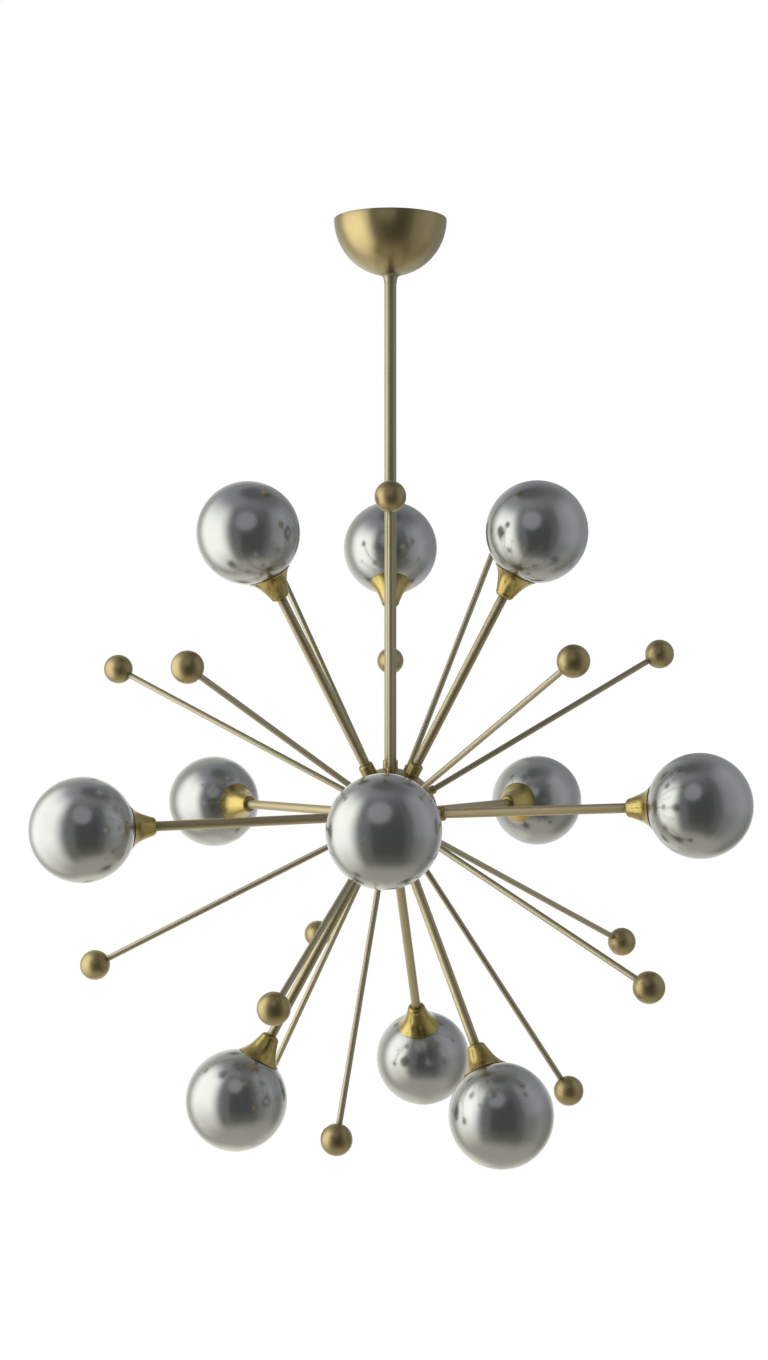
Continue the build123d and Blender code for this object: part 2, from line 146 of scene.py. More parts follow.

# Painted shade, with grime, in the corners of each kind where parts meet, as (place, amount) where 0 is
# none; it changes evenly between
SHADE_AND_GRIME = {
    "globe": [
        (NECK_PLACE, 0.5),
        (RIM_PLACE - 4.1, 0.5),
        (RIM_PLACE - 0.6, 0.05),
        (RIM_PLACE + 0.9, 0.0),
    ],
    "cup": [
        (CUP_PLACE, 0.9),
        (CUP_PLACE + 1.4, 0.4),
        (CUP_PLACE + 5.4, 0.0),
        (RIM_PLACE - 0.6, 0.0),
        (RIM_PLACE + 0.5, 0.2),
    ],
    "arm": [
        (ARM_FERRULE_TOP - 1.5, 0.8),
        (ARM_FERRULE_TOP + 2.5, 0.0),
        (CUP_PLACE - 7.6, 0.0),
        (CUP_PLACE, 0.8),
    ],
    "arm_ferrule": [
        (HUB_RADIUS - 1.5, 0.9),
        (HUB_RADIUS + 0.5, 0.15),
        (ARM_FERRULE_TOP - 2.5, 0.1),
        (ARM_FERRULE_TOP + 0.5, 0.5),
    ],
    "rod": [
        (ROD_FERRULE_TOP - 0.5, 0.7),
        (ROD_FERRULE_TOP + 2.5, 0.0),
        (BALL_START - 4.0, 0.0),
        (BALL_START + 0.5, 0.8),
    ],
    "rod_ferrule": [
        (HUB_RADIUS - 1.0, 0.9),
        (HUB_RADIUS + 0.5, 0.15),
        (ROD_FERRULE_TOP - 1.5, 0.1),
        (ROD_FERRULE_TOP + 0.5, 0.5),
    ],
    "ball": [(BALL_START, 0.9), (BALL_START + 1.0, 0.3), (BALL_START + 3.0, 0.0)],
    "upper_shell": [
        (HUB_SPLIT - 0.5, 0.9),
        (HUB_SPLIT + 1.0, 0.0),
        (HUB_RADIUS - 3.5, 0.0),
        (HUB_RADIUS - 0.5, 0.7),
    ],
    "lower_shell": [
        (-HUB_RADIUS, 0.7),
        (-HUB_RADIUS + 2.5, 0.0),
        (HUB_SPLIT - 1.0, 0.0),
        (HUB_SPLIT + 0.1, 0.9),
    ],
    "nut": [(-HUB_RADIUS - 9.5, 0.0), (-HUB_RADIUS - 1.5, 0.1), (-HUB_RADIUS + 1.0, 0.8)],
    "stem": [
        (STEM_FERRULE_TOP - 0.5, 0.6),
        (STEM_FERRULE_TOP + 2.5, 0.0),
        (RING_END[0] - 2.5, 0.0),
        (RING_END[0] + 12.5, 0.5),
    ],
    "stem_ferrule": [
        (HUB_RADIUS - 1.5, 0.9),
        (HUB_RADIUS + 0.5, 0.1),
        (STEM_FERRULE_TOP - 1.5, 0.1),
        (STEM_FERRULE_TOP + 0.5, 0.6),
    ],
    "bowl": [
        (BOWL_BOTTOM - 0.5, 0.8),
        (BOWL_BOTTOM + 2.0, 0.3),
        (BOWL_BOTTOM + 7.5, 0.0),
        (HANG_DROP - 4.0, 0.0),
        (HANG_DROP, 0.3),
    ],
    "ring": [
        (RING_END[0] - 1.0, 0.6),
        (RING_END[0] + 0.5, 0.1),
        (BOWL_BOTTOM - 1.5, 0.1),
        (BOWL_BOTTOM + 1.5, 0.8),
    ],
}

# Aim of each piece's line in degrees: its turn about the stem from the front towards the viewer's
# right, and its rise above level
UP = (0, 90)
ARM_AIMS = {
    "upper_left": (-59, 60),
    "upper_right": (67, 61),
    "upper_back": (180, 60),
    "middle_front": (-1, 1),
    "middle_left": (-65, -1),
    "middle_right": (66, 3),
    "middle_back_left": (-142, 0),
    "middle_back_right": (149, 0),
    "lower_left": (-79, -61),
    "lower_right": (41, -60),
    "lower_back": (168, -58),
}
ROD_AIMS = {
    "top": [(0, 67), (112, 67), (-120, 62)],
    "upper": [(-109, 26), (-37, 26), (33, 27), (107, 29), (180, 28)],
    "lower": [(-93, -27), (-20, -27), (52, -26), (124, -26), (-164, -27)],
    "bottom": [(-18, -61), (98, -57), (-125, -61)],
}

# Tones of the brass: bright, deep, roughness, depth of the turned rings in metres, and how far
# reflections are drawn out across the rings, which also sets the painted upright sheen streaks
BRASS_TONES = {
    "antique_brass": ((0.41, 0.320, 0.140), (0.31, 0.237, 0.095), 0.34, 8e-6, 0.0),
    "bowl_brass": ((0.38, 0.308, 0.155), (0.29, 0.230, 0.110), 0.31, 8e-6, 0.7),
    "cup_brass": ((0.43, 0.335, 0.120), (0.31, 0.236, 0.077), 0.21, 4e-6, 0.0),
    "tube_brass": ((0.48, 0.405, 0.255), (0.38, 0.317, 0.192), 0.42, 2e-6, 0.0),
    "rod_brass": ((0.44, 0.400, 0.275), (0.35, 0.315, 0.210), 0.45, 2e-6, 0.0),
    "stem_brass": ((0.38, 0.342, 0.230), (0.29, 0.257, 0.168), 0.42, 2e-6, 0.0),
    "ball_brass": ((0.38, 0.302, 0.150), (0.29, 0.228, 0.110), 0.39, 1e-6, 0.0),
}

# Studio and camera, in metres
HUB = np.array([0.0, 0.0, -HANG_DROP * MM])
SHELL_RADIUS = 1.25
FLOOR_HEIGHT = -2.1
FLOOR_REACH = 6.0
LAMP_PLACE = Vector((-1.2, -1.6, 0.6))
LAMP_TARGET = Vector((0.0, 0.0, -0.6))
LAMP_SIDE = 1.4
LAMP_WATTS = 14.0
CAMERA_PLACE = (0.0, -2.2035, -0.4616)
FILM_HEIGHT = 36.0  # millimetres
PICTURE_HEIGHT = 1360.0  # pixels of the photograph, as are the next two
FOCAL_LENGTH = 2199.0
SIDE_SHIFT = -6.4

# Strengths at which the studio shows, where 1 is white
WHITE = (1.0, 1.0, 1.0, 1.0)
ROOM_LIGHT = 0.55  # on the object
ROOM_SEEN = 1.0
FLOOR_SEEN = 1.09
FLOOR_SEEN_SHARE = 0.88  # the rest is plain paper, which keeps the shadow

# Brightness of the parts of the studio that the brass and the glass mirror
WALL_GLOW = 0.50
LOW_RIGHT_LOSS = 0.14
RIGHT_LIGHT_GLOW = 0.20
LEFT_LIGHT_GLOW = 2.1
GAP_GLOW = 0.20
GAP_LEFT_GAIN = 0.08
STRIP_GLOW = 0.11
CEILING_GLOW = 0.40
CEILING_LEFT_GAIN = 0.12
OVERHEAD_GLOW = 0.18
REFLECTOR_GLOW = 0.55
FLOOR_GLOW = 0.72
BACK_RIGHT_GLOW = (0.90, 0.40)  # below and above
BACK_LEFT_GLOW = (1.15, 0.70)
BACK_MIDDLE_GLOW = 1.0
REFLECTOR_AIM = (8.0, 32.0)  # turn to the left of the camera and rise, in degrees
REFLECTOR_EDGE = (16.5, 19.0)  # degrees from its middle where its edge starts and ends


# Materials


class Wire:
    """One socket of a node tree; arithmetic on it adds Math nodes."""

    def __init__(self, finish, socket):
        self.finish = finish
        self.socket = socket

    def _math(self, operation, first, second):
        return self.finish.node("ShaderNodeMath", {"operation": operation}, {0: first, 1: second})

    def __add__(self, other):
        return self._math("ADD", self, other)

    def __radd__(self, other):
        return self._math("ADD", other, self)

    def __sub__(self, other):
        return self._math("SUBTRACT", self, other)

    def __rsub__(self, other):
        return self._math("SUBTRACT", other, self)

    def __mul__(self, other):
        return self._math("MULTIPLY", self, other)

    def __rmul__(self, other):
        return self._math("MULTIPLY", other, self)

    def above(self, level, width):
        """0 below a level, 1 above it, with a straight ramp of the given width between."""
        ramp = (self - (level - width / 2)) * (1 / width)
        return self.finish.node("ShaderNodeClamp", {}, {"Value": ramp})


class Finish:
    """The node tree of a material or of the world, and the one method that adds nodes to it."""

    COLOUR_A, COLOUR_B, COLOUR_OUT = 6, 7, 2  # sockets that a Mix node uses for colours

    def __init__(self, owner):
        owner.use_nodes = True
        self.owner = owner
        self.tree = owner.node_tree
        self.tree.nodes.clear()

    def node(self, kind, settings=None, inputs=None, output=0):
        """Adds a node, makes its settings, fills its sockets and returns one output if it has any."""
        made = self.tree.nodes.new(kind)
        for key, value in (settings or {}).items():
            setattr(made, key, value)
        for key, value in (inputs or {}).items():
            if isinstance(value, Wire):
                self.tree.links.new(value.socket, made.inputs[key])
            else:
                made.inputs[key].default_value = value
        return Wire(self, made.outputs[output]) if made.outputs else None

    def place(self):
        """The piece's own coordinates, in metres."""
        return self.node("ShaderNodeTexCoord", output="Object")

    def attribute(self, name):
        """A value that the mesh holds at each of its points."""
        return self.node("ShaderNodeAttribute", {"attribute_name": name}, output="Fac")

    def noise(self, scale, detail=2.0, roughness=0.5, vector=None):
        """Cloudy value between about 0.2 and 0.8, in the piece's own coordinates unless told."""
        inputs = {"Scale": scale, "Detail": detail, "Roughness": roughness}
        inputs["Vector"] = vector or self.place()
        return self.node("ShaderNodeTexNoise", {}, inputs)

    def mixed(self, factor, first, second):
        """Blend of two colours."""
        inputs = {"Factor": factor, self.COLOUR_A: first, self.COLOUR_B: second}
        return self.node("ShaderNodeMix", {"data_type": "RGBA"}, inputs, self.COLOUR_OUT)

    def relief(self, height, distance, strength):
        """Bump normal of a height value; the distance is in metres."""
        inputs = {"Height": height, "Distance": distance, "Strength": strength}
        return self.node("ShaderNodeBump", {}, inputs)

    def shade(self, **inputs):
        """Ends a material with a Principled shader, whose sockets are named as in base_color."""
        named = {key.replace("_", " ").title(): value for key, value in inputs.items()}
        shader = self.node("ShaderNodeBsdfPrincipled", {}, named)
        self.node("ShaderNodeOutputMaterial", {}, {"Surface": shader})
        return self.owner


def new_finish(name):
    """Finish of a new material."""
    return Finish(bpy.data.materials.new(name))


def opaque(colour, share=1.0):
    """A colour, or a darker share of it, with full alpha."""
    return (*(share * part for part in colour), 1.0)


def satin_brass(name, bright, deep, rough, ring_depth, stretch_and_sheen):
    """Brushed and lacquered brass: turned rings that follow the piece, cloudy tone, and painted shade
    with grime in its corners, which also roughens them. The stretch draws reflections out across
    the rings of an upright piece and adds faint upright streaks of painted sheen."""
    f = new_finish(name)
    turning = f.node("ShaderNodeUVMap", {"uv_map": "turning"})
    along = f.node("ShaderNodeSeparateXYZ", {}, {0: turning}, "Y")
    shade_and_grime = f.attribute("shade_and_grime")
    drift = f.noise(60.0, detail=3.0)
    rings = f.node(
        "ShaderNodeTexNoise",
        {"noise_dimensions": "1D"},
        {"W": along + drift * 0.0006, "Scale": 2400.0, "Detail": 1.0, "Roughness": 0.5},
    )
    cloud = f.noise(16.0, detail=3.0)
    smear = f.noise(140.0)
    squeeze = {0: f.place(), 1: (1.0, 1.0, 0.08)}
    # Faint upright streaks painted into the tone as drawn-out sheen
    sheen_streaks = f.noise(150.0, vector=f.node("ShaderNodeVectorMath", {"operation": "MULTIPLY"}, squeeze))
    tone = cloud.above(0.5, 0.8) * 0.7 + (rings - 0.5) * 0.25 + (sheen_streaks - 0.5) * stretch_and_sheen + 0.15
    clean = f.mixed(tone, opaque(deep), opaque(bright))
    return f.shade(
        # Painted shade with grime: the colour darkens towards a dark brown in the corners where parts meet
        base_color=f.mixed(shade_and_grime * (0.35 + 0.4 * smear), clean, opaque(deep, 0.4)),
        metallic=1.0,
        roughness=rough + 0.08 * (cloud - 0.5) + 0.05 * (rings - 0.5) + 0.15 * shade_and_grime,
        anisotropic=stretch_and_sheen,
        anisotropic_rotation=0.25,
        coat_weight=0.15,
        coat_roughness=0.25,
        normal=f.relief(rings, ring_depth, 0.5),
    )


def smoked_glass():
    """Smoke-tinted glass with a thin mirror coat: slightly uneven coat, faint wipe marks, dust, and
    painted shade with grime near the neck.
    """
    f = new_finish("smoked_glass")
    shade_and_grime = f.attribute("shade_and_grime")
    coat = f.noise(18.0, detail=4.0, roughness=0.6)
    wipes = f.noise(45.0, detail=5.0, roughness=0.7)
    specks = f.noise(900.0, detail=1.0).above(0.72, 0.06)
    colour = f.mixed(coat.above(0.5, 0.5), opaque((0.345, 0.352, 0.352)), opaque((0.415, 0.420, 0.410)))
    # Painted shade, with grime, darkens the glass near the neck inside the cup
    colour = f.mixed(shade_and_grime * 0.5, colour, opaque((0.06, 0.055, 0.045)))
    colour = f.mixed(specks * 0.2, colour, opaque((0.45, 0.45, 0.44)))
    waves = f.noise(14.0) + 0.15 * f.noise(60.0, detail=1.0)
    return f.shade(
        base_color=colour,
        metallic=0.94,
        roughness=0.19 + 0.05 * wipes.above(0.58, 0.3) + 0.1 * specks + 0.15 * shade_and_grime,
        coat_weight=0.35,
        coat_roughness=0.10,
        alpha=0.95,
        normal=f.relief(waves, 0.001, 0.15),
    )


def plated_steel(name, colour, rough):
    """Zinc-plated, brassed or blackened steel: spangled tone and fine scratches."""
    f = new_finish(name)
    spangle = f.noise(260.0)
    scratch = f.noise(900.0, roughness=0.7)
    return f.shade(
        base_color=f.mixed(spangle.above(0.5, 0.4), opaque(colour, 0.7), opaque(colour)),
        metallic=1.0,
        roughness=rough + 0.2 * (scratch - 0.5) + 0.1 * spangle,
        normal=f.relief(scratch, 8e-5, 0.5),
    )


def moulded(name, colour, rough):
    """Moulded plastic, fired ceramic or frosted glass: faint mottling and a fine pebbled skin."""
    f = new_finish(name)
    mottle = f.noise(180.0, detail=3.0)
    pebble = f.noise(1600.0)
    return f.shade(
        base_color=f.mixed(mottle.above(0.5, 0.5), opaque(colour, 0.8), opaque(colour)),
        roughness=rough + 0.15 * (mottle - 0.5),
        normal=f.relief(pebble, 5e-5, 0.4),
    )


# Curves in the profile plane, as rows of (place, distance from the line)


def arc(centre, radius, start, end, count):
    """Circle arc: place = centre's place + radius cos t, distance = centre's distance + radius sin t."""
    place, distance = centre
    t = np.linspace(start, end, count)
    return np.column_stack([place + radius * np.cos(t), distance + radius * np.sin(t)])


def ball_arc(centre, radius, start, end, count):
    """Arc of a ball on the line, where t is the angle from the line at the ball's centre."""
    return arc((centre, 0.0), radius, start, end, count)


def runs(corners, spacing=6.0):
    """Profile through (place, distance, rounding) corners. Each corner is the quadratic curve
    (1-t)^2 a + 2t(1-t) corner + t^2 b between points a and b, one rounding away on its two runs,
    and long runs are divided evenly."""
    points = [np.array([corners[0][:2]])]
    for i in range(1, len(corners)):
        here = np.array(corners[i][:2])
        before = points[-1][-1]
        if i + 1 < len(corners) and corners[i][2] > 0:
            back = (before - here) / np.linalg.norm(before - here)
            ahead = np.array(corners[i + 1][:2]) - here
            ahead /= np.linalg.norm(ahead)
            first, last = here + back * corners[i][2], here + ahead * corners[i][2]
            t = np.linspace(0, 1, 6)[:, None]
            bend = (1 - t) ** 2 * first + 2 * t * (1 - t) * here + t**2 * last
        else:
            first = here
            bend = here[None, :]
        pieces = max(1, int(np.linalg.norm(first - before) / spacing))
        steps = np.linspace(0, 1, pieces + 1)[1:-1, None]
        points += [before + steps * (first - before), bend]
    return np.concatenate(points)


def tangent_arc(start, slope, end, count):
    """Arc that leaves the start point in the direction of the slope and passes through the end
    point; its radius is chord^2 / (2 chord . square), square to the slope."""
    start, end = np.array(start), np.array(end)
    direction = np.array([cos(slope), sin(slope)])
    square = np.array([-direction[1], direction[0]])
    chord = end - start
    radius = chord @ chord / (2 * (chord @ square))
    centre = start + radius * square
    first = atan2(*(start - centre)[::-1])
    last = atan2(*(end - centre)[::-1])
    return arc(centre, abs(radius), first, last, count)


def curve_through(start, middle, end, count):
    """Quadratic curve (1-t)^2 start + 2t(1-t) pull + t^2 end, which passes through the middle point
    at t = 1/2."""
    start, middle, end = np.array(start), np.array(middle), np.array(end)
    pull = 2 * middle - (start + end) / 2
    t = np.linspace(0, 1, count)[:, None]
    return (1 - t) ** 2 * start + 2 * t * (1 - t) * pull + t**2 * end


# Profiles of the pieces. Each goes once round the wall of its piece.


def globe_profile():
    """Outer ball from its far pole to the neck, round the neck's end, and back inside to the pole."""
    neck = np.arcsin(NECK_RADIUS / GLOBE_RADIUS)
    bore = np.arcsin(NECK_BORE / GLOBE_INSIDE)
    outer = ball_arc(ARM_REACH, GLOBE_RADIUS, 0.0, pi - neck, count=72)
    corners = [
        (outer[-1, 0], NECK_RADIUS, 0),
        (NECK_PLACE, NECK_RADIUS, NECK_ROUNDING),
        (NECK_PLACE, NECK_BORE, NECK_ROUNDING),
    ]
    inner = ball_arc(ARM_REACH, GLOBE_INSIDE, pi - bore, 0.0, count=64)
    return np.concatenate([outer, runs(corners, spacing=2.0)[1:], inner])


def cup_side(inset):
    """Cup's outside drawn in by a wall: round shoulder, straight cone and flare that ends at the rim."""
    shoulder, bend = CUP_SHOULDER_RADIUS - inset, CUP_SHOULDER_ROUNDING - inset
    centre = (CUP_PLACE + CUP_SHOULDER_ROUNDING, shoulder - bend)
    corner = arc(centre, bend, pi, pi / 2, count=8)
    waist = (WAIST_PLACE, CUP_WAIST_RADIUS - inset)
    cone = corner[-1] + np.linspace(0, 1, 6)[1:-1, None] * (np.array(waist) - corner[-1])
    flare = tangent_arc(waist, CUP_FLARE, (RIM_PLACE, CUP_RIM_RADIUS - inset), count=14)
    return np.concatenate([corner, cone, flare])


def cup_profile():
    """Outside from the arm's hole to the rim, round the rim, and back inside to the hole."""
    outer, inner = cup_side(0.0), cup_side(CUP_WALL)
    rim = arc((RIM_PLACE, CUP_RIM_RADIUS - CUP_WALL / 2), CUP_WALL / 2, pi / 2, -pi / 2, count=7)
    start, end = [[CUP_PLACE, ARM_HOLE]], [[CUP_FLOOR, ARM_HOLE]]
    return np.concatenate([start, outer[:-1], rim, inner[::-1][1:], end])


def tube_profile(radius, bore, start, end, rounding=0.3):
    """Wall of a tube, starting and ending half way along its outside."""
    middle = (start + end) / 2
    return runs(
        [
            (middle, radius, 0),
            (end, radius, rounding),
            (end, bore, rounding),
            (start, bore, rounding),
            (start, radius, rounding),
            (middle - 1.0, radius, 0),
        ]
    )


def rod_profile(rounding=0.3):
    """Solid rod, from the line at one end round to the line at the other."""
    near = [(TAIL_START, 0, 0), (TAIL_START, ROD_RADIUS, rounding)]
    return runs(near + [(ROD_END, ROD_RADIUS, rounding), (ROD_END, 0, 0)])


def on_hub(radius):
    """Place where a cylinder of a radius meets the hub ball, let in a little."""
    return sqrt(HUB_RADIUS**2 - radius**2) - SINK


def ferrule_profile(sizes, bore):
    """Ferrule that stands on the hub ball, with a rounded far edge."""
    radius, length, rounding = sizes
    top = HUB_RADIUS + length
    round_edge = arc((top - rounding, radius - rounding), rounding, pi / 2, 0.0, count=8)
    wall = runs([(on_hub(radius), radius, 0), (top - rounding, radius, 0)], spacing=1.5)
    return np.concatenate([wall[:-1], round_edge, [[top, bore], [on_hub(bore), bore]]])


def ball_profile():
    """Ball with the blind hole for its rod at the near side."""
    hole = np.arcsin(ROD_HOLE / BALL_RADIUS)
    skin = ball_arc(ROD_REACH, BALL_RADIUS, 0.0, pi - hole, count=40)
    return np.concatenate([skin, [[ROD_END + FIT, ROD_HOLE], [ROD_END + FIT, 0.0]]])


def half_hub_profile(lower):
    """Upper or lower shell of the hub, with half of the fine groove at the joint line."""
    split = np.arccos(HUB_SPLIT / HUB_RADIUS)
    inner_split = np.arccos(HUB_SPLIT / HUB_INSIDE)
    hole = STEM_BORE if lower else STEM_HOLE
    side = -1.0 if lower else 1.0

    def pole(radius):
        drilled = np.arcsin(hole / radius)
        return pi - drilled if lower else drilled

    outer = ball_arc(0.0, HUB_RADIUS, split - side * GROOVE_ANGLE, pole(HUB_RADIUS), count=60)
    inner = ball_arc(0.0, HUB_INSIDE, pole(HUB_INSIDE), inner_split, count=50)
    groove = [[HUB_SPLIT + side * GROOVE_HALF_WIDTH, HUB_RADIUS * sin(split) - GROOVE_DEPTH]]
    return np.concatenate([outer, inner, groove])


def nut_profile():
    """Domed nut under the hub, from the line at its foot over the dome and up into its blind bore."""
    low = -HUB_RADIUS - NUT_HEIGHT
    blind = low + NUT_FLOOR
    dome = arc((low + NUT_DOME, NUT_RADIUS - NUT_DOME), NUT_DOME, pi, pi / 2, count=10)
    seat = -sqrt(HUB_RADIUS**2 - NUT_RADIUS**2) - NUT_GAP
    heel = -sqrt(HUB_RADIUS**2 - STEM_BORE**2) - NUT_GAP
    bore = [[seat, NUT_RADIUS], [heel, STEM_BORE], [blind, STEM_BORE], [blind, 0.0]]
    return np.concatenate([[[low, 0.0]], dome, bore])


def bowl_profile():
    """Half-ball bowl of the canopy; its rim at the ceiling is rounded."""
    outer_hole = pi - np.arcsin(BOWL_HOLE / BOWL_RADIUS)
    inner_hole = pi - np.arcsin(BOWL_HOLE / BOWL_INSIDE)
    outer = ball_arc(HANG_DROP, BOWL_RADIUS, outer_hole, pi / 2 + OUTER_RIM_ANGLE, count=72)
    edge = (HANG_DROP - BOWL_RIM_ROUNDING, (BOWL_RADIUS + BOWL_INSIDE) / 2)
    rim = arc(edge, BOWL_RIM_ROUNDING, pi / 2, -pi / 2, count=7)
    inner = ball_arc(HANG_DROP, BOWL_INSIDE, pi / 2 + INNER_RIM_ANGLE, inner_hole, count=64)
    return np.concatenate([outer[:-1], rim, inner[1:]])


def ring_profile():
    """Flared ring under the bowl, whose top is hollowed to sit on it."""
    flare = curve_through(RING_TOP, RING_WAIST, RING_END, count=24)
    off_centre = np.hypot(flare[:, 0] - HANG_DROP, flare[:, 1])
    flare = flare[off_centre > BOWL_RADIUS + RING_EDGE_GAP]
    edge, bore = [pi - np.arcsin(radius / BOWL_RADIUS) for radius in (flare[0, 1], RING_BORE)]
    seat = ball_arc(HANG_DROP, BOWL_RADIUS + RING_GAP, edge, bore, count=6)
    return np.concatenate([flare, [[RING_END[0], RING_BORE]], seat[::-1]])


# Surfaces and pieces


def line_axes(aim):
    """Direction of a line from the hub centre, (sin turn cos rise, -cos turn cos rise, sin rise),
    and two directions square to it, from its cross product with a helper that is well off it."""
    turn, rise = radians(aim[0]), radians(aim[1])
    along = np.array([sin(turn) * cos(rise), -cos(turn) * cos(rise), sin(rise)])
    steep = abs(along[2]) > 0.9
    helper = np.array([1.0, 0.0, 0.0] if steep else [0.0, 0.0, 1.0])
    side = np.cross(helper, along)
    side /= np.linalg.norm(side)
    return along, side, np.cross(along, side)


def turned(kind, profile, aim):
    """Surface of revolution of a profile about a line from the hub centre: the point at place h,
    distance r and angle a is hub + h along + r (cos a side + sin a up). A profile that starts on
    the line ends there too; any other is closed, with its last ring joined to its first. The UV map
    is the share of the turn and the travel along the profile in metres."""
    around = AROUND[kind]
    closed = profile[0, 1] > 0
    along, side, up = line_axes(aim)
    place, distance = profile[:, 0] * MM, profile[:, 1] * MM
    angle = np.arange(around) * (2 * pi / around)
    ring = np.cos(angle)[:, None] * side + np.sin(angle)[:, None] * up
    points = HUB + place[:, None, None] * along + distance[:, None, None] * ring[None, :, :]

    rows = len(profile)
    first = np.arange(rows if closed else rows - 1)[:, None]
    second = (first + 1) % rows
    column = np.arange(around)
    after = (column + 1) % around
    near, far = first * around, second * around
    corners = [near + column, near + after, far + after, far + column]
    quads = np.stack(corners, axis=-1).reshape(-1, 4)

    lengths = np.linalg.norm(np.roll(profile, -1, axis=0) - profile, axis=1) * MM
    travel = np.concatenate([[0.0], np.cumsum(lengths)])
    start, end = travel[first], travel[first + 1]
    u = np.stack([column, column + 1, column + 1, column], axis=-1) / around
    v = np.stack([start, start, end, end], axis=-1)
    uv = np.stack(np.broadcast_arrays(u[None], v), axis=-1).reshape(-1, 2)
    # Amount of painted shade and grime at each ring of the profile
    places, amounts = zip(*SHADE_AND_GRIME[kind])
    shade_and_grime_levels = np.repeat(np.interp(profile[:, 0], places, amounts), around)
    return points.reshape(-1, 3), quads, uv, shade_and_grime_levels


def weld_poles(mesh):
    """Merges the rings of no size at the poles and turns every face outwards."""
    work = bmesh.new()
    work.from_mesh(mesh)
    bmesh.ops.remove_doubles(work, verts=work.verts, dist=WELD_DISTANCE)
    bmesh.ops.recalc_face_normals(work, faces=work.faces)
    work.to_mesh(mesh)
    work.free()


def make_piece(name, surfaces, node, body, material):
    """Joins surfaces into one mesh object that stands for a CAD node and rides on a body."""
    points, quads, uv, shade_and_grime_levels = zip(*surfaces)
    starts = np.cumsum([0] + [len(p) for p in points[:-1]])
    quads = np.concatenate([q + start for q, start in zip(quads, starts)])
    mesh = bpy.data.meshes.new(name)
    mesh.from_pydata(np.concatenate(points).tolist(), [], quads.tolist())
    turning = mesh.uv_layers.new(name="turning")
    turning.data.foreach_set("uv", np.concatenate(uv).astype(np.float32).ravel())
    # Painted shade and grime at each point, read by the materials
    shade_and_grime = mesh.attributes.new("shade_and_grime", "FLOAT", "POINT")
    shade_and_grime.data.foreach_set("value", np.concatenate(shade_and_grime_levels).astype(np.float32))
    weld_poles(mesh)
    mesh.polygons.foreach_set("use_smooth", np.ones(len(mesh.polygons), dtype=bool))
    mesh.set_sharp_from_angle(angle=SHARP_ANGLE)
    mesh.materials.append(material)
    piece = bpy.data.objects.new(name, mesh)
    bpy.context.scene.collection.objects.link(piece)
    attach(piece, body)
    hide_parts(node)


def brass_piece(name, kind, profile, aims, node, tone="antique_brass", body="root"):
    """Brass piece with one turned surface for each aim."""
    surfaces = [turned(kind, profile, aim) for aim in aims]
    make_piece(name, surfaces, node, body, BRASS[tone])


# Make the object

BRASS = {name: satin_brass(name, *tone) for name, tone in BRASS_TONES.items()}
GLASS = smoked_glass()

arm = tube_profile(ARM_RADIUS, ARM_BORE, TAIL_START, CUP_FLOOR)
for place, aim in ARM_AIMS.items():
    # A globe's body has the name of its node
    globe = f"globe_{place}"
    surface = turned("globe", globe_profile(), aim)
    make_piece(f"glass_{place}", [surface], globe, globe, GLASS)
    brass_piece(f"bell_{place}", "cup", cup_profile(), [aim], f"cup_{place}", "cup_brass")
    brass_piece(f"tube_{place}", "arm", arm, [aim], f"arm_{place}", "tube_brass")

arm_ferrule = ferrule_profile(ARM_FERRULE, ARM_HOLE)
rod_ferrule = ferrule_profile(ROD_FERRULE, ROD_HOLE)
every_rod = [aim for aims in ROD_AIMS.values() for aim in aims]
brass_piece("arm_ferrules", "arm_ferrule", arm_ferrule, ARM_AIMS.values(), "arm_collars")
brass_piece("rod_ferrules", "rod_ferrule", rod_ferrule, every_rod, "rod_collars")

for tier, aims in ROD_AIMS.items():
    brass_piece(f"thin_rods_{tier}", "rod", rod_profile(), aims, f"rods_{tier}", "rod_brass")
    brass_piece(f"end_balls_{tier}", "ball", ball_profile(), aims, f"balls_{tier}", "ball_brass")

brass_piece("hub_top_shell", "upper_shell", half_hub_profile(False), [UP], "hub_upper_shell")
brass_piece("hub_bottom_shell", "lower_shell", half_hub_profile(True), [UP], "hub_lower_shell")
brass_piece("domed_nut", "nut", nut_profile(), [UP], "hub_cap_nut")

stem = tube_profile(STEM_RADIUS, STEM_BORE, STEM_START, STEM_END)
stem_ferrule = ferrule_profile(STEM_FERRULE, STEM_HOLE)
brass_piece("stem", "stem", stem, [UP], "stem_tube", "stem_brass")
brass_piece("stem_ferrule", "stem_ferrule", stem_ferrule, [UP], "stem_foot")

brass_piece("canopy_bowl", "bowl", bowl_profile(), [UP], "canopy_shell", "bowl_brass", "canopy")
brass_piece("canopy_ring", "ring", ring_profile(), [UP], "canopy_collar", "stem_brass", "canopy")

# Finishes of the pieces kept as they are, inside the canopy, hub and cups
ZINC = plated_steel("zinc_plate", (0.60, 0.61, 0.62), 0.32)
KEPT = {
    "ceiling_bracket": ZINC,
    "bracket_nipple": ZINC,
    "nipple_nuts": ZINC,
    "hub_tie_rod": ZINC,
    "stem_coupler": plated_steel("coupler_brass", (0.62, 0.50, 0.25), 0.30),
    "collar_set_screw": plated_steel("black_screw", (0.06, 0.06, 0.065), 0.35),
    "terminal_block": moulded("terminal_plastic", (0.80, 0.79, 0.74), 0.45),
    "globe_rings": moulded("ring_plastic", (0.025, 0.025, 0.025), 0.5),
    "lamp_sockets": moulded("socket_ceramic", (0.82, 0.81, 0.77), 0.6),
    "lamp_bulbs": moulded("frosted_bulb", (0.86, 0.85, 0.80), 0.25),
}
for node, material in KEPT.items():
    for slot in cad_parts[node].material_slots:
        slot.material = material


# Floor, studio and camera


